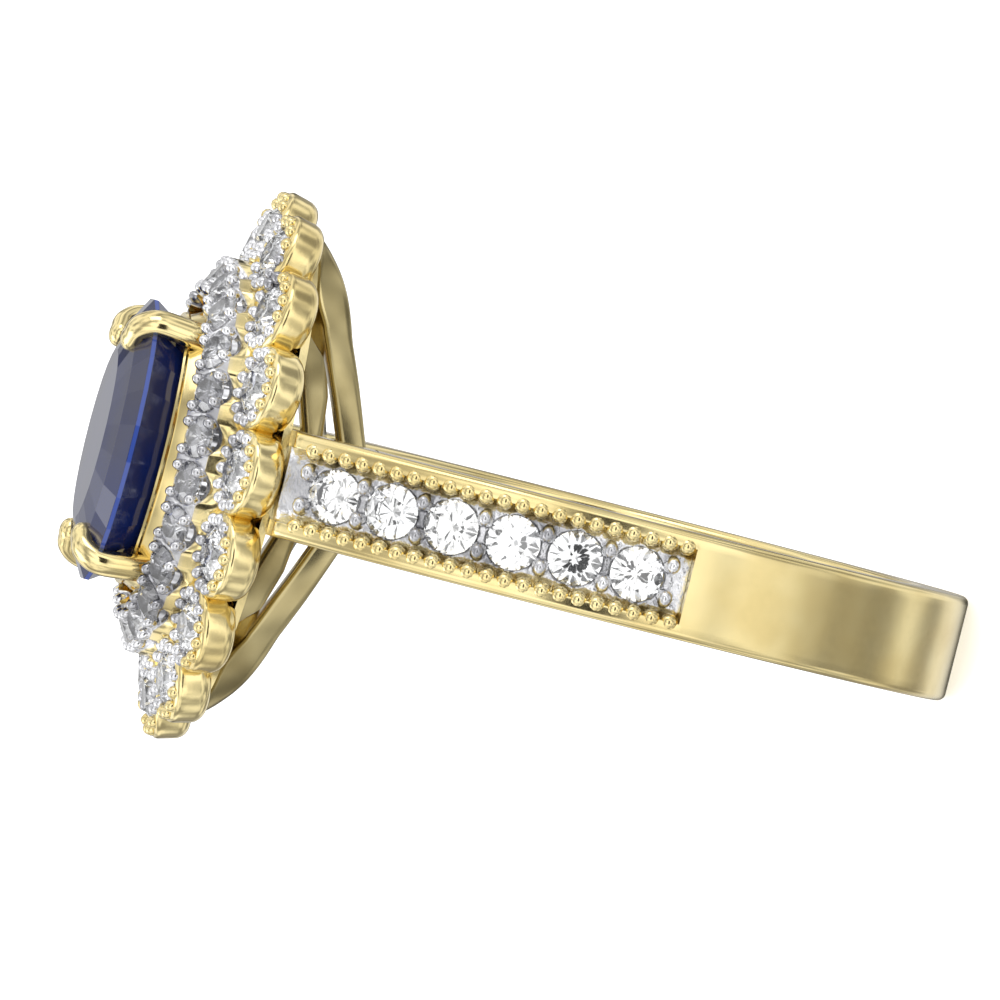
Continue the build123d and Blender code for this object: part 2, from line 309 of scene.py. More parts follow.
# A narrow band at the girdle's height is painted a lighter blue: painted light.
off = (up_mm - (sapphire_high.z - 0.7)) ** 2
girdle_painted_light = 1 - soft_step(off, 0.002, 0.005)
stone_blue = mix_colours(girdle_painted_light, stone_blue, (0.03, 0.07, 0.34))
tree.links.new(stone_blue.socket, shader.inputs["Base Color"])
roughness = 0.07 + 0.09 * zone
tree.links.new(roughness.socket, shader.inputs["Roughness"])

for name, node in frame["nodes"].items():
    if "diamond" in name or name == "sapphire":
        finish = sapphire_material if name == "sapphire" else diamond_material
        for material_slot in node.material_slots:
            material_slot.link = "OBJECT"
            material_slot.material = finish
print("stones finished:", sum("diamond" in n for n in frame["nodes"]) + 1)

# %% [markdown]
# ## Skins
# Most of the metal can be drawn as a row of section rings, joined one to the next. The
# first helper skins such rings. Points are in millimetres and become metres here.

# %% Skin helper
def skin(name, rings, loop=False, plating=None, material=polished_gold, sharp=35):
    """Closed mesh through rings of points. With loop the last ring joins the first."""
    mesh = bpy.data.meshes.new(name)
    count = len(rings[0])
    points = [Vector(p) * MM for ring in rings for p in ring]
    faces = []
    last = len(rings) if loop else len(rings) - 1
    for i in range(last):
        a, b = i * count, ((i + 1) % len(rings)) * count
        for j in range(count):
            k = (j + 1) % count
            faces.append((a + j, a + k, b + k, b + j))
    if not loop:
        faces.append(tuple(reversed(range(count))))
        faces.append(tuple(range((len(rings) - 1) * count, len(rings) * count)))
    mesh.from_pydata(points, [], faces)
    if plating is not None:
        layer = mesh.attributes.new("plating", "FLOAT", "POINT")
        layer.data.foreach_set("value", [v for ring in plating for v in ring])
    return finish_mesh(name, mesh, material, sharp)


def finish_mesh(name, mesh, material, sharp):
    """Merges doubles, points faces outwards, shades smooth except over sharp edges."""
    work = bmesh.new()
    work.from_mesh(mesh)
    bmesh.ops.remove_doubles(work, verts=work.verts, dist=0.0000005)
    bmesh.ops.dissolve_degenerate(work, edges=work.edges, dist=0.0000002)
    bmesh.ops.recalc_face_normals(work, faces=work.faces)
    work.to_mesh(mesh)
    work.free()
    mesh.shade_smooth()
    mesh.set_sharp_from_angle(angle=radians(sharp))
    mesh.materials.clear()
    mesh.materials.append(material)
    piece = bpy.data.objects.new(name, mesh)
    bpy.context.scene.collection.objects.link(piece)
    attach(piece, "root")
    print(name, len(mesh.polygons), "faces")
    return piece


# %% [markdown]
# ## The band
# A goldsmith files the band from one bar: plain and round at the back, fuller on the
# shoulders, with a channel cut down the middle of each shoulder. Here each station along
# the band is one ring. Two stations share the channel's end, one before the cut and one
# after it, which makes the upright end wall.

# %% Outline of the band seen along the finger
CREASE_Z = -1.33
CREASE_X = sqrt(BAND_R**2 - CREASE_Z**2)
ARC_R = 15.0
ARC_X = CREASE_X * (1 - ARC_R / BAND_R)
ARC_Z = CREASE_Z * (1 - ARC_R / BAND_R)
ARM_X = gallery_high.x
CHANNEL_DEPTH = 1.12
FLOOR_BOTTOM = 1.08
CHANNEL_HALF = plate_high.y + 0.01
CHANNEL_END_Z = plate_low.z - 0.01
FLOOR_DEPTH = 0.28


def arc_angle(z):
    return asin((z - ARC_Z) / ARC_R)


def shoulder_point(angle, depth=0.0):
    """Point and outward direction on the right shoulder's arc."""
    out = Vector((cos(angle), 0, sin(angle)))
    return Vector((ARC_X, 0, ARC_Z)) + out * (ARC_R - depth), out


crease_angle = atan2(CREASE_Z, CREASE_X)
arm_angle = acos(ARM_X / BORE_R)
arm_foot = BORE_R * sin(arm_angle)
inner_run = BORE_R * (arm_angle - crease_angle)
inner_total = inner_run + HEAD_Z - arm_foot


def inside_point(share):
    """Point and direction on the inside of a shoulder, share 0 at the crease, 1 at the head."""
    along = share * inner_total
    if along <= inner_run:
        angle = crease_angle + along / BORE_R
        out = Vector((cos(angle), 0, sin(angle)))
        return out * BORE_R, out
    return Vector((ARM_X, 0, arm_foot + along - inner_run)), Vector((1, 0, 0))


# %% [markdown]
# The band's corners are eased so that they don't catch a finger, and the channel's inner
# edges are barely broken, which leaves two crisp rails. One function gives that section for
# any station. A holding row past each corner keeps the wide flat sides flat in the light.

# %% Section of the band
EDGE_R = 0.22
RAIL_ROUND = 0.05
HOLD = 0.03


def band_section(outer, outer_dir, inner, inner_dir, cut):
    """One ring: round the outer corners and channel, then round the inner corners."""
    steps = 6
    ring = []
    half = BAND_HALF

    def outside(y, down):
        ring.append(outer - outer_dir * down + Vector((0, y, 0)))

    def inside(y, up):
        ring.append(inner + inner_dir * up + Vector((0, y, 0)))

    outside(half, EDGE_R + HOLD)
    for i in range(steps + 1):
        turn = i / steps * pi / 2
        outside(half - EDGE_R + EDGE_R * cos(turn), EDGE_R - EDGE_R * sin(turn))
    half_profile = [
        (CHANNEL_HALF + RAIL_ROUND, 0.0),
        (CHANNEL_HALF + 0.3 * RAIL_ROUND, 0.3 * RAIL_ROUND * cut),
        (CHANNEL_HALF, RAIL_ROUND * cut),
        (CHANNEL_HALF, CHANNEL_DEPTH * cut),
        (0.5 * CHANNEL_HALF, CHANNEL_DEPTH * cut),
    ]
    for y, down in half_profile:
        outside(y, down)
    for y, down in reversed(half_profile):
        outside(-y, down)
    for i in range(steps + 1):
        turn = pi / 2 - i / steps * pi / 2
        outside(-half + EDGE_R - EDGE_R * cos(turn), EDGE_R - EDGE_R * sin(turn))
    outside(-half, EDGE_R + HOLD)
    inside(-half, EDGE_R + HOLD)
    for i in range(steps + 1):
        turn = i / steps * pi / 2
        inside(-half + EDGE_R - EDGE_R * cos(turn), EDGE_R - EDGE_R * sin(turn))
    for i in range(steps + 1):
        turn = pi / 2 - i / steps * pi / 2
        inside(half - EDGE_R + EDGE_R * cos(turn), EDGE_R - EDGE_R * sin(turn))
    inside(half, EDGE_R + HOLD)
    return ring


# %% [markdown]
# The stations run from the head down one shoulder, round the plain back and up the other.
# The left shoulder is the right one mirrored, as the two are filed to match.

# %% Skin the band
head_angle = arc_angle(HEAD_Z)
start_angle = arc_angle(CREASE_Z)
end_angle = arc_angle(CHANNEL_END_Z)
PAST_HEAD = 0.075
stations = []
for i in range(77):
    angle = head_angle + PAST_HEAD + (end_angle - head_angle - PAST_HEAD) * i / 76
    stations.append((angle, 1.0))
stations.append((end_angle, 0.0))
for i in range(1, 4):
    stations.append((end_angle + (start_angle - end_angle) * i / 3, 0.0))

right_half = []
for angle, cut in stations:
    share = min(1.0, (angle - start_angle) / (head_angle - start_angle))
    outer, outer_dir = shoulder_point(angle)
    inner, inner_dir = inside_point(share)
    ring = band_section(outer, outer_dir, inner, inner_dir, cut)
    right_half.append([Vector((p.x, p.y, min(p.z, HEAD_Z))) for p in ring])
flip = Matrix.Scale(-1, 3, Vector((1, 0, 0)))
left_half = [[flip @ p for p in ring] for ring in reversed(right_half)]
back = []
BACK_STEPS = 160
for i in range(1, BACK_STEPS):
    angle = crease_angle - (pi + 2 * crease_angle) * i / BACK_STEPS
    out = Vector((cos(angle), 0, sin(angle)))
    back.append(band_section(out * BAND_R, out, out * BORE_R, out, 0.0))
band = skin("band", right_half + back + left_half, material=band_gold, sharp=40)
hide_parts("shank")

# %% [markdown]
# ## Grains and beads
# Milgrain is a row of tiny beads rolled along an edge, and a setter raises larger beads to
# hold stones. Both repeat one small shape, so Geometry Nodes place them: every mark says
# where a grain sits, which way is up, how large it is and how much plating it has.

# %% The grain tree
GRAIN_SIDES = 10
GRAIN_RINGS = 6


def grain_tree(material):
    """Node tree that stands one domed grain on every mark."""
    tree = bpy.data.node_groups.new("grains_" + material.name, "GeometryNodeTree")
    face = tree.interface
    face.new_socket("Marks", in_out="INPUT", socket_type="NodeSocketGeometry")
    face.new_socket("Stretch", in_out="INPUT", socket_type="NodeSocketFloat").default_value = 1.0
    face.new_socket("Length", in_out="INPUT", socket_type="NodeSocketFloat").default_value = 1.0
    face.new_socket("Grains", in_out="OUTPUT", socket_type="NodeSocketGeometry")
    source = tree.nodes.new("NodeGroupInput")
    marks = Wire(tree, source.outputs["Marks"])
    stretch = Wire(tree, source.outputs["Stretch"])
    length = Wire(tree, source.outputs["Length"])
    values = {"Segments": GRAIN_SIDES, "Rings": GRAIN_RINGS, "Radius": 1.0}
    ball = add_node(tree, "GeometryNodeMeshUVSphere", None, values)
    size = add_node(tree, "GeometryNodeInputNamedAttribute", {"data_type": "FLOAT"}, {"Name": "size"})
    up = add_node(tree, "GeometryNodeInputNamedAttribute", {"data_type": "FLOAT_VECTOR"}, {"Name": "up"})
    along = add_node(
        tree, "GeometryNodeInputNamedAttribute", {"data_type": "FLOAT_VECTOR"}, {"Name": "along"}
    )
    axes = {"primary_axis": "Z", "secondary_axis": "X"}
    stand = add_node(tree, "FunctionNodeAxesToRotation", axes, {0: up, 1: along})
    scale = add_node(
        tree, "ShaderNodeCombineXYZ", None, {0: size * length, 1: size, 2: size * stretch}
    )
    values = {"Points": marks, "Instance": ball, "Rotation": stand, "Scale": scale}
    placed = add_node(tree, "GeometryNodeInstanceOnPoints", None, values)
    real = add_node(tree, "GeometryNodeRealizeInstances", None, {"Geometry": placed})
    smooth = add_node(tree, "GeometryNodeSetShadeSmooth", None, {0: real})
    done = add_node(tree, "GeometryNodeSetMaterial", None, {"Geometry": smooth, "Material": material})
    sink = tree.nodes.new("NodeGroupOutput")
    tree.links.new(done.socket, sink.inputs["Grains"])
    return tree


def set_input(modifier, name, value):
    for item in modifier.node_group.interface.items_tree:
        if item.name == name and item.in_out == "INPUT":
            modifier[item.identifier] = value


def evaluated_piece(name, marks_object):
    """The modifier's result as a plain mesh piece, with the marks removed."""
    graph = bpy.context.evaluated_depsgraph_get()
    mesh = bpy.data.meshes.new_from_object(marks_object.evaluated_get(graph))
    marks_object.modifiers.clear()
    bpy.data.objects.remove(marks_object)
    piece = bpy.data.objects.new(name, mesh)
    mesh.name = name
    bpy.context.scene.collection.objects.link(piece)
    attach(piece, "root")
    print(name, len(mesh.polygons), "faces")
    return piece


grain_trees = {}


def grains(name, marks, material, stretch=1.0, length=1.0):
    """Stands a grain on each mark: (place, up, along, radius in mm, plating)."""
    mesh = bpy.data.meshes.new(name + "_marks")
    mesh.from_pydata([m[0] * MM for m in marks], [], [])
    for label, kind, values in (
        ("up", "FLOAT_VECTOR", [c for m in marks for c in m[1]]),
        ("along", "FLOAT_VECTOR", [c for m in marks for c in m[2]]),
        ("size", "FLOAT", [m[3] * MM for m in marks]),
        ("plating", "FLOAT", [m[4] for m in marks]),
    ):
        layer = mesh.attributes.new(label, kind, "POINT")
        layer.data.foreach_set("vector" if kind == "FLOAT_VECTOR" else "value", values)
    holder = bpy.data.objects.new(name + "_marks", mesh)
    bpy.context.scene.collection.objects.link(holder)
    if material.name not in grain_trees:
        grain_trees[material.name] = grain_tree(material)
    modifier = holder.modifiers.new("grains", "NODES")
    modifier.node_group = grain_trees[material.name]
    set_input(modifier, "Stretch", stretch)
    set_input(modifier, "Length", length)
    return evaluated_piece(name, holder)


# %% [markdown]
# The rails carry milgrain along the inner edge. The wheel that rolls it leaves beads that
# touch, so their spacing follows the arc, not a straight line.

# %% Rail milgrain
RAIL_GRAIN_PITCH = 0.53
RAIL_GRAIN_R = 0.265
RAIL_GRAIN_Y = CHANNEL_HALF + 0.03
rail_span = (head_angle - end_angle) * ARC_R
rail_count = int(rail_span / RAIL_GRAIN_PITCH)
for side, side_name in ((1, "right"), (-1, "left")):
    marks = []
    for i in range(rail_count):
        angle = end_angle + (i + 0.5) * RAIL_GRAIN_PITCH / ARC_R
        place, out = shoulder_point(angle, 0.16)
        place.x *= side
        out.x *= side
        along = Vector((-side * sin(angle), 0, cos(angle)))
        for y in (RAIL_GRAIN_Y, -RAIL_GRAIN_Y):
            marks.append((place + Vector((0, y, 0)), out, along, RAIL_GRAIN_R, 0.0))
    grains(f"rail_milgrain_{side_name}", marks, polished_gold, stretch=0.95, length=1.02)

# %% [markdown]
# ## The channel floor
# The white floor is a block with a cone-shaped seat under every stone and chisel cuts
# beside them. A height for each point of a fine grid makes both, and a skirt closes it.

# %% Block helper
def block(name, top, bottom, material, plating=None, sharp=30):
    """Closed block between two equal grids of points."""
    rows, columns = len(top), len(top[0])
    points = [p * MM for row in top for p in row] + [p * MM for row in bottom for p in row]
    low = rows * columns
    faces = []
    for i in range(rows - 1):
        for j in range(columns - 1):
            a = i * columns + j
            quad = (a, a + 1, a + columns + 1, a + columns)
            faces.append(quad)
            faces.append(tuple(low + k for k in reversed(quad)))
    rim = [j for j in range(columns)]
    rim += [i * columns + columns - 1 for i in range(1, rows)]
    rim += [(rows - 1) * columns + j for j in range(columns - 2, -1, -1)]
    rim += [i * columns for i in range(rows - 2, 0, -1)]
    for a, b in zip(rim, rim[1:] + rim[:1]):
        faces.append((b, a, low + a, low + b))
    mesh = bpy.data.meshes.new(name)
    mesh.from_pydata(points, [], faces)
    if plating is not None:
        layer = mesh.attributes.new("plating", "FLOAT", "POINT")
        layer.data.foreach_set("value", [plating] * len(points))
    return finish_mesh(name, mesh, material, sharp)


# %% Floors, seats and beads of the shoulders
SIDE_STONE_R = 0.775
SIDE_PITCH = 1.81
first_angle = arc_angle(0.4)
stone_angles = [first_angle + i * SIDE_PITCH / ARC_R for i in range(6)]
bead_angles = [first_angle + (i - 0.5) * SIDE_PITCH / ARC_R for i in range(7)]
BEAD_OUT = 0.47
FLOOR_ROWS, FLOOR_COLUMNS = 340, 61


def seat_depth(distance, radius):
    """How deep a seat is at a distance from its stone's middle, in mm."""
    if distance >= radius + 0.03:
        return 0.0
    return 0.03 + 0.86 * max(radius - distance, 0.0)


for side, side_name in ((1, "right"), (-1, "left")):
    top, bottom = [], []
    for i in range(FLOOR_ROWS):
        angle = end_angle + 0.0005 + (head_angle + PAST_HEAD - end_angle - 0.001) * i / (FLOOR_ROWS - 1)
        top_row, bottom_row = [], []
        for j in range(FLOOR_COLUMNS):
            y = (CHANNEL_HALF - 0.005) * (2 * j / (FLOOR_COLUMNS - 1) - 1)
            down = FLOOR_DEPTH
            for stone in stone_angles:
                run = (angle - stone) * (ARC_R - FLOOR_DEPTH)
                if abs(run) < 1.0:
                    down = max(down, FLOOR_DEPTH + seat_depth(sqrt(run * run + y * y), SIDE_STONE_R))
            dip = max(0.0, abs(y) - 0.72) * 0.45
            wave = 0.035 * sin(angle * ARC_R * 2 * pi / 0.6 + (0 if y > 0 else 2.2))
            if down == FLOOR_DEPTH:
                down += dip + wave * min(1.0, max(0.0, abs(y) - 0.55) * 6)
            place, out = shoulder_point(angle, down)
            deep, out = shoulder_point(angle, FLOOR_BOTTOM)
            top_row.append(Vector((side * place.x, y, min(place.z, HEAD_Z))))
            bottom_row.append(Vector((side * deep.x, y, min(deep.z, HEAD_Z - 0.02))))
        top.append(top_row)
        bottom.append(bottom_row)
    floor_block = block(f"bead_floor_{side_name}", top, bottom, white_rhodium, sharp=38)
    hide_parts(f"bead_plate_{side_name}")
    marks = []
    for angle in bead_angles:
        place, out = shoulder_point(angle, FLOOR_DEPTH - 0.04)
        place.x *= side
        out.x *= side
        along = Vector((-side * sin(angle), 0, cos(angle)))
        for y in (BEAD_OUT, -BEAD_OUT):
            marks.append((place + Vector((0, y, 0)), out, along, 0.29, 1.0))
    grains(f"stone_beads_{side_name}", marks, bead_rhodium, stretch=1.25, length=0.84)

# %% [markdown]
# ## The gallery
# Two wires rise from the band, meet in a broad cap at each end and make one saddle-shaped
# loop. The section grows from a square wire into the cap, so the loop is skinned from
# rings that change size as they go round.

# %% Gallery loop
GALLERY_LOW = 7.75
GALLERY_SLOPE = 0.37
GALLERY_BEND_Y = 4.4
GALLERY_STEPS = 160
CAP = 1.6
WIRE = 0.85


def loop_height(y):
    """Underside of the loop at a distance along the finger."""
    y = abs(y)
    rise = GALLERY_LOW + GALLERY_SLOPE * (min(y, GALLERY_BEND_Y) - BAND_HALF)
    if y > GALLERY_BEND_Y:
        share = (y - GALLERY_BEND_Y) / (gallery_high.y - GALLERY_BEND_Y)
        rise += 0.37 * (y - GALLERY_BEND_Y) * 0.6 + (HEAD_Z - rise - 0.96 * 0.37 * 1.56) * share**3
    return rise


gallery_rings = []
for i in range(GALLERY_STEPS):
    angle = 2 * pi * i / GALLERY_STEPS
    outer_x, outer_y = gallery_high.x * cos(angle), gallery_high.y * sin(angle)
    inner_x = (gallery_high.x - WIRE) * cos(angle)
    inner_y = (gallery_high.y - CAP) * sin(angle)
    low_outer = max(loop_height(outer_y), sqrt(max((BORE_R + 0.05) ** 2 - outer_x**2, 0)))
    low_inner = max(loop_height(inner_y), sqrt(max((BORE_R + 0.05) ** 2 - inner_x**2, 0)))
    lift = min(1.0, max(0.0, (abs(outer_y) - 4.6) / 1.2))
    top_inner = loop_height(inner_y) + WIRE + (HEAD_Z - loop_height(inner_y) - WIRE) * lift
    top_outer = loop_height(outer_y) + WIRE + (HEAD_Z - loop_height(outer_y) - WIRE) * lift
    top_outer = max(top_outer, low_outer + 0.05)
    top_inner = max(top_inner, low_inner + 0.05)
    corners = [
        Vector((outer_x, outer_y, low_outer)),
        Vector((outer_x, outer_y, top_outer)),
        Vector((inner_x, inner_y, top_inner)),
        Vector((inner_x, inner_y, low_inner)),
    ]
    ring = []
    for k, corner in enumerate(corners):
        before = corners[k - 1] - corner
        after = corners[(k + 1) % 4] - corner
        reach = min(0.2, 0.4 * before.length, 0.4 * after.length)
        start = corner + before.normalized() * reach
        end = corner + after.normalized() * reach
        for step in range(5):
            t = step / 4
            ring.append(start * (1 - t) ** 2 + corner * 2 * t * (1 - t) + end * t**2)
    gallery_rings.append(ring)
gallery = skin("gallery_loop", gallery_rings, loop=True, material=shaded_wire_gold, sharp=60)
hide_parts("gallery")

# %% [markdown]
# ## The scalloped halo
# Every cup is turned to one profile: a rounded foot, a polished wall, a soft rim and a
# white seat. Geometry Nodes stand a copy on each mark round the oval.

# %% Cup profile and cups
CUP_R = 1.25
CUP_SIDES = 40
CUP_HEIGHT = 1.1
FOOT_R = 0.42
RIM = 0.2
OUTER_STONE_R = 0.775
cup_profile = [(0.02, 0.0, 0.0), (CUP_R - FOOT_R, 0.0, 0.0)]
for i in range(1, 9):
    turn = i / 8 * pi / 2
    cup_profile.append((CUP_R - FOOT_R + FOOT_R * sin(turn), FOOT_R - FOOT_R * cos(turn), 0.0))
cup_profile.append((CUP_R, CUP_HEIGHT - 0.35, 0.0))
for i in range(7):
    turn = i / 6 * pi / 2
    cup_profile.append((CUP_R - RIM + RIM * cos(turn), CUP_HEIGHT - RIM - 0.02 + RIM * sin(turn), 0.0))
cup_profile += [
    (CUP_R - 0.24, CUP_HEIGHT - 0.06, 0.3),
    (OUTER_STONE_R + 0.05, CUP_HEIGHT - 0.14, 1.0),
    (OUTER_STONE_R + 0.02, CUP_HEIGHT - 0.09, 1.0),
    (OUTER_STONE_R, CUP_HEIGHT - 0.12, 1.0),
    (0.02, CUP_HEIGHT - 0.86, 1.0),
]


def turned(name, profile, sides):
    """Mesh of a profile (radius, height, plating) turned about Z, in metres."""
    mesh = bpy.data.meshes.new(name)
    points, faces, plating = [], [], []
    for radius, height, white in profile:
        for j in range(sides):
            angle = 2 * pi * j / sides
            points.append(Vector((radius * cos(angle), radius * sin(angle), height)) * MM)
            plating.append(white)
    for i in range(len(profile) - 1):
        for j in range(sides):
            k = (j + 1) % sides
            faces.append((i * sides + j, i * sides + k, (i + 1) * sides + k, (i + 1) * sides + j))
    faces.append(tuple(reversed(range(sides))))
    faces.append(tuple(range((len(profile) - 1) * sides, len(profile) * sides)))
    mesh.from_pydata(points, [], faces)
    layer = mesh.attributes.new("plating", "FLOAT", "POINT")
    layer.data.foreach_set("value", plating)
    mesh.shade_smooth()
    mesh.set_sharp_from_angle(angle=radians(50))
    mesh.materials.append(plated_gold)
    return bpy.data.objects.new(name, mesh)


def copies_tree(pattern):
    """Node tree that stands a copy of one object on every mark."""
    tree = bpy.data.node_groups.new("copies_of_" + pattern.name, "GeometryNodeTree")
    face = tree.interface
    face.new_socket("Marks", in_out="INPUT", socket_type="NodeSocketGeometry")
    face.new_socket("Size", in_out="INPUT", socket_type="NodeSocketFloat").default_value = 1.0
    face.new_socket("Copies", in_out="OUTPUT", socket_type="NodeSocketGeometry")
    source = tree.nodes.new("NodeGroupInput")
    shape = add_node(tree, "GeometryNodeObjectInfo", None, {"Object": pattern}).out("Geometry")
    kind = {"data_type": "FLOAT_VECTOR"}
    up = add_node(tree, "GeometryNodeInputNamedAttribute", kind, {"Name": "up"})
    slope = add_node(tree, "GeometryNodeInputNamedAttribute", kind, {"Name": "slope"})
    axes = {"primary_axis": "Z", "secondary_axis": "X"}
    stand = add_node(tree, "FunctionNodeAxesToRotation", axes, {0: up, 1: slope})
    values = {
        "Points": Wire(tree, source.outputs["Marks"]),
        "Instance": shape,
        "Rotation": stand,
        "Scale": Wire(tree, source.outputs["Size"]),
    }
    placed = add_node(tree, "GeometryNodeInstanceOnPoints", None, values)
    real = add_node(tree, "GeometryNodeRealizeInstances", None, {"Geometry": placed})
    done = add_node(tree, "GeometryNodeSetMaterial", None, {"Geometry": real, "Material": plated_gold})
    sink = tree.nodes.new("NodeGroupOutput")
    tree.links.new(done.socket, sink.inputs["Copies"])
    return tree


cup_shape = turned("cup_shape", cup_profile, CUP_SIDES)
bpy.context.scene.collection.objects.link(cup_shape)
marks_mesh = bpy.data.meshes.new("cup_marks")
feet = [point - facing * CUP_HEIGHT for point, slope, around, facing in cup_places]
marks_mesh.from_pydata([foot * MM for foot in feet], [], [])
for label, index in (("slope", 1), ("up", 3)):
    layer = marks_mesh.attributes.new(label, "FLOAT_VECTOR", "POINT")
    layer.data.foreach_set("vector", [v for place in cup_places for v in place[index]])
cup_marks = bpy.data.objects.new("cup_marks", marks_mesh)
bpy.context.scene.collection.objects.link(cup_marks)
modifier = cup_marks.modifiers.new("cups", "NODES")
modifier.node_group = copies_tree(cup_shape)
set_input(modifier, "Size", 1.0)
cups = evaluated_piece("halo_cups", cup_marks)
bpy.data.objects.remove(cup_shape)
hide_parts("halo_frame")

# %% [markdown]
# A plate joins the cups under the inner halo. It is an oval washer: a thin ledge runs out
# under the cups, lower than the points of their stones, and a foot rises where the two
# halos meet.

# %% Halo plate
def oval_ring(half_x, half_y, z, count=176):
    return [
        Vector((half_x * cos(2 * pi * i / count), half_y * sin(2 * pi * i / count), z))
        for i in range(count)
    ]


def washer(name, sections, material, sharp=35):
    """Closed loop from rows of (half x, half y, height, plating), from inside round."""
    rings = list(zip(*[oval_ring(a, b, z) for a, b, z, white in sections]))
    plating = [[white for a, b, z, white in sections] for i in range(176)]
    return skin(name, rings, loop=True, plating=plating, material=material, sharp=sharp)


PLATE_TOP = inner_low.z
LEDGE = 0.22
plate_sections = [
    (2.9, 3.9, HEAD_Z, 0.0),
    (OUTER_X + 0.1, OUTER_Y + 0.1, HEAD_Z, 0.0),
    (OUTER_X + 0.1, OUTER_Y + 0.1, HEAD_Z + LEDGE, 0.0),
    (INNER_X + 0.74, INNER_Y + 0.74, HEAD_Z + LEDGE, 0.0),
    (INNER_X + 0.7, INNER_Y + 0.7, PLATE_TOP + 0.62, 0.0),
    (INNER_X + 0.3, INNER_Y + 0.3, PLATE_TOP + 0.72, 0.0),
    (INNER_X + 0.2, INNER_Y + 0.2, PLATE_TOP, 0.2),
    (2.9, 3.9, PLATE_TOP, 0.0),
]
washer("halo_plate", plate_sections, plated_gold)

# %% [markdown]
# Each cup has its own crown of milgrain. The beads near the middle of the ring are plated
# along with the seats, and the outermost ones are left gold.

# %% Cup milgrain
CUP_GRAINS = 13
marks = []
for point, slope, around, facing in cup_places:
    for i in range(CUP_GRAINS):
        angle = 2 * pi * (i + 0.5) / CUP_GRAINS
        spoke = slope * cos(angle) + around * sin(angle)
        place = point + spoke * 0.985 - facing * 0.05
        white = 0.0 if cos(angle) > 0.5 else 1.0
        up = (facing + 0.25 * spoke).normalized()
        marks.append((place, up, facing.cross(spoke), 0.2, white))
grains("cup_milgrain", marks, plated_gold, stretch=1.15)

# %% [markdown]
# ## The inner halo
# This ring is cut down: beside each stone the wall dips in a smooth U, and what is left
# between two dips is split into a pair of small beads that hold both stones.

# %% Inner halo ring
HALF_WALL = 0.62
INNER_STONE_R = 0.6
STATIONS = INNER_COUNT * 20


oval_length = oval_walk(INNER_X, INNER_Y, 1)[1]
stone_pitch = oval_length / INNER_COUNT
ring_places = halo_places(INNER_X, INNER_Y, INNER_FACE_Z, INNER_TILT, STATIONS)
across = [-1 + 2 * i / 16 for i in range(17)]
rings, plating = [], []
for i, (point, slope, around, facing) in enumerate(ring_places):
    out = oval_outwards(point, INNER_X, INNER_Y)
    run = ((i / 20 + 0.5) % 1 - 0.5) * stone_pitch
    ring, white = [], []
    for share in across:
        r = share * HALF_WALL
        dip = 0.0
        if abs(run) < 0.46 and abs(share) > 0.5:
            dip = 0.34 * (1 - (run / 0.46) ** 2) * min(1, (abs(share) - 0.5) / 0.25)
        seat = seat_depth(sqrt(run * run + r * r), INNER_STONE_R)
        ring.append(point + slope * (r / cos(INNER_TILT)) * 0.99 - facing * max(dip, seat))
        white.append(1.0 if abs(share) < 0.93 else 0.4)
    edge = ring[-1]
    lip = min(edge.z, INNER_FACE_Z - 0.8)
    level = Vector((point.x, point.y, 0))
    for z in (lip, lip - 0.3, PLATE_TOP):
        ring.append(level + out * HALF_WALL + Vector((0, 0, z)))
        white.append(0.0)
    ring.append(level - out * HALF_WALL + Vector((0, 0, PLATE_TOP)))
    white.append(0.0)
    rings.append(ring)
    plating.append(white)
inner_ring = skin(
    "inner_halo_ring", rings, loop=True, plating=plating, material=plated_gold, sharp=45
)
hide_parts("inner_halo")

marks = []
for point, slope, around, facing in inner_places:
    for reach in (0.46, -0.46):
        for step in (0.39, -0.39):
            place = point + slope * reach + around * step - facing * 0.02
            marks.append((place, facing, around, 0.185, 0.9))
grains("inner_halo_beads", marks, plated_gold, stretch=1.45)

# %% [markdown]
# ## The centre setting
# A tapered oval collet carries the sapphire. Its top edge is a thin bright rim. It could be
# cast or turned and pressed oval; here it is one profile carried round an oval.

# %% Collet
SEAT_TOP = 13.1
GIRDLE_X = sapphire_high.x
GIRDLE_Y = sapphire_high.y
GIRDLE_Z = sapphire_high.z - 0.7
collet_sections = [
    (2.82, 3.82, PLATE_TOP, 0.0),
    (3.46, 4.46, PLATE_TOP, 0.0),
    (3.3, 4.3, PLATE_TOP + 0.7, 0.0),
    (2.98, 3.98, SEAT_TOP - 0.42, 0.0),
    (2.86, 3.86, SEAT_TOP - 0.2, 0.0),
    (2.84, 3.84, SEAT_TOP - 0.15, 0.0),
    (2.9, 3.9, SEAT_TOP - 0.12, 0.0),
    (2.91, 3.91, SEAT_TOP - 0.06, 0.0),
    (2.88, 3.88, SEAT_TOP, 0.0),
    (2.72, 3.72, SEAT_TOP + 0.01, 0.0),
    (2.5, 3.5, SEAT_TOP - 0.25, 0.0),
]
collet = washer("collet", collet_sections, polished_gold, sharp=28)
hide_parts("centre_setting")

# %% [markdown]
# Four claws are bent over the crown: each is a rod, wider than it is thick, that ends in a
# rounded nail on the stone. One bent line seen from the side serves all four corners.

# %% Claws
CLAW_TURN = radians(55)


def bend(points, steps):
    """A smooth line through points, by Catmull-Rom."""
    line = []
    padded = [points[0] * 2 - points[1]] + points + [points[-1] * 2 - points[-2]]
    for i in range(1, len(padded) - 2):
        p0, p1, p2, p3 = padded[i - 1 : i + 3]
        for step in range(steps):
            t = step / steps
            a = 2 * p1 + (p2 - p0) * t
            b = (2 * p0 - 5 * p1 + 4 * p2 - p3) * t**2 + (3 * p1 - p0 - 3 * p2 + p3) * t**3
            line.append((a + b) / 2)
    line.append(points[-1])
    return line


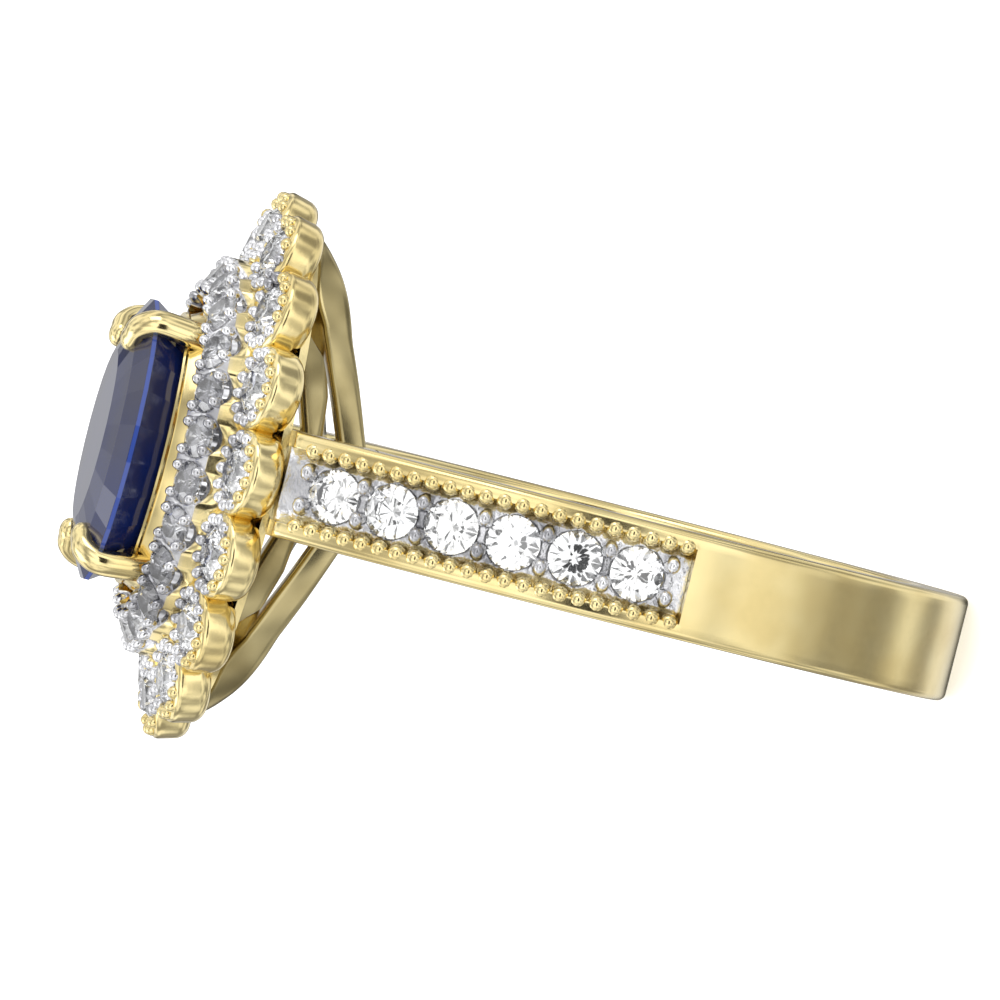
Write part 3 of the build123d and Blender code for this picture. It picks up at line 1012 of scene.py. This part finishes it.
claw_side = [
    Vector((-0.12, 11.9 - GIRDLE_Z)),
    Vector((0.12, -0.75)),
    Vector((0.17, 0.0)),
    Vector((-0.12, 0.42)),
    Vector((-0.5, 0.52)),
    Vector((-0.98, 0.62)),
]
for number, (sx, sy) in enumerate(((1, 1), (-1, 1), (-1, -1), (1, -1))):
    foot = Vector((sx * GIRDLE_X * cos(CLAW_TURN), sy * GIRDLE_Y * sin(CLAW_TURN), GIRDLE_Z))
    out = oval_outwards(foot, GIRDLE_X, GIRDLE_Y)
    wide = Vector((-out.y, out.x, 0))
    line = bend(claw_side, 9)
    rings = []
    total = len(line) - 1
    for i, spot in enumerate(line):
        ahead = line[min(i + 1, total)] - line[max(i - 1, 0)]
        ahead.normalize()
        thick_dir = out * -ahead.y + Vector((0, 0, 1)) * ahead.x
        share = i / total
        width = 0.43 - 0.05 * share
        thick = 0.36 - 0.06 * share
        close = max(0.0, (share - 0.84) / 0.16)
        shrink = sqrt(max(1 - close**2, 0.0025))
        centre = foot + out * spot.x + Vector((0, 0, 1)) * spot.y
        rings.append(
            [
                centre
                + wide * (width * shrink * cos(2 * pi * j / 20))
                + thick_dir * (thick * shrink * sin(2 * pi * j / 20))
                for j in range(20)
            ]
        )
    skin(f"claw_{number + 1}", rings, sharp=60)

# %% [markdown]
# ## Floor, light and camera
# The ring stands on a plain pale floor. It glows a little, so that it stays as white as the
# backdrop, and reflections leave it out, because it would wash out the metal.

# %% Floor
floor_mesh = bpy.data.meshes.new("floor")
floor_z = (shank_low.z - 0.02) * MM
corners = [(-5, -5, floor_z), (5, -5, floor_z), (5, 5, floor_z), (-5, 5, floor_z)]
floor_mesh.from_pydata(corners, [], [(0, 1, 2, 3)])
floor_material, tree, shader = new_material("pale_floor", {"Roughness": 0.6})
shader.inputs["Base Color"].default_value = (0.95, 0.95, 0.95, 1)
shader.inputs["Emission Color"].default_value = (1, 1, 1, 1)
shader.inputs["Emission Strength"].default_value = 0.56
floor_mesh.materials.append(floor_material)
floor = bpy.data.objects.new("floor", floor_mesh)
bpy.context.scene.collection.objects.link(floor)
floor.visible_glossy = False

# %% [markdown]
# Jewellery is shot in a light tent: soft white from nearly everywhere, with a few darker
# gaps that draw the edges of the metal. The world is that tent: soft folds, a brighter
# front with a dark slit in it, and darker cloth below and behind. The camera itself sees
# plain white.

# %% World
world = bpy.data.worlds.new("light_tent")
bpy.context.scene.world = world
world.use_nodes = True
sky = world.node_tree
direction = add_node(sky, "ShaderNodeTexCoord").out("Generated")
folds = add_node(
    sky, "ShaderNodeTexNoise", None, {"Vector": direction, "Scale": 2.3, "Detail": 2.0, "Roughness": 0.4}
)
split = add_node(sky, "ShaderNodeSeparateXYZ", None, {0: direction})
dir_x, dir_z = split, split.out("Z")
tent = 0.24 + 0.85 * soft_step(folds, 0.36, 0.6)
front = soft_step(dir_x, 0.55, 0.85)
slit = soft_step(dir_x, 0.9, 0.95) * (1 - soft_step(dir_z * dir_z, 0.012, 0.03))
below = 1 - soft_step(dir_z, -0.75, -0.2)
behind = 1 - soft_step(dir_x, -0.95, -0.75)
level = tent * (1 - 0.2 * below) + 0.12 + 0.4 * front - 0.45 * behind - 1.9 * slit
level = level.most(0.03)
seen = add_node(sky, "ShaderNodeLightPath")
seen = Wire(sky, seen.socket.node.outputs["Is Camera Ray"])
level = level + seen * (1 - level)
background = sky.nodes["Background"]
background.inputs["Color"].default_value = (1, 1, 1, 1)
sky.links.new(level.socket, background.inputs["Strength"])


# %% [markdown]
# Two large soft lamps give the long highlights. At the ring's real size a fraction of a
# watt is enough.

# %% Lamps
def lamp(name, place, aim, size, power):
    """A square soft lamp that faces a point, in metres."""
    data = bpy.data.lights.new(name, "AREA")
    data.shape = "SQUARE"
    data.size = size
    data.energy = power
    light = bpy.data.objects.new(name, data)
    light.location = place
    light.rotation_euler = (Vector(aim) - Vector(place)).to_track_quat("-Z", "Y").to_euler()
    bpy.context.scene.collection.objects.link(light)


LAMP_WATTS = 0.14
lamp("soft_left", (0.12, 0.25, 0.12), (0, 0, 0), 0.16, LAMP_WATTS)
lamp("soft_high", (-0.05, -0.2, 0.3), (0, 0, 0), 0.2, LAMP_WATTS)
print("two lamps of", LAMP_WATTS, "W")

# %% [markdown]
# The ring lies on its side in the picture, seen along the shoulders from a metre away with
# a long lens. Yaw turns the view towards the head, lift towards the finger axis, and roll
# leans the picture. The picture's width and its middle are in millimetres at the ring.

# %% Camera
DISTANCE = 1.0
VIEW_WIDTH = 27.9486
VIEW_RIGHT, VIEW_UP = -2.8284, 1.67412
SENSOR = 36
YAW, LIFT, ROLL = radians(8.2), radians(0.74), radians(-14.19)
back_dir = Vector((cos(LIFT) * cos(YAW), sin(LIFT), cos(LIFT) * sin(YAW)))
right = Vector((0, 1, 0)).cross(back_dir).normalized()
above = back_dir.cross(right)
right, above = cos(ROLL) * right - sin(ROLL) * above, sin(ROLL) * right + cos(ROLL) * above
aim = (right * VIEW_RIGHT + above * VIEW_UP) * MM
camera_data = bpy.data.cameras.new("camera")
camera_data.lens = SENSOR * DISTANCE / (VIEW_WIDTH * MM)
camera_data.sensor_width = SENSOR
camera_data.clip_start = 0.01
camera_data.clip_end = 50
camera = bpy.data.objects.new("camera", camera_data)
turn = Matrix((right, above, back_dir)).transposed().to_4x4()
camera.matrix_world = Matrix.Translation(aim + back_dir * DISTANCE) @ turn
bpy.context.scene.collection.objects.link(camera)
bpy.context.scene.camera = camera
print("lens", round(camera_data.lens), "mm")

# %% [markdown]
# Light goes in and out of a diamond many times before it reaches the eye, so the stones
# need more bounces than metal does. Colours are shown as they are, with no film look.

# %% View settings
scene = bpy.context.scene
scene.view_settings.view_transform = "Standard"
scene.view_settings.look = "None"
scene.cycles.max_bounces = 14
scene.cycles.transmission_bounces = 12
scene.cycles.glossy_bounces = 6
print("bounces", scene.cycles.max_bounces)
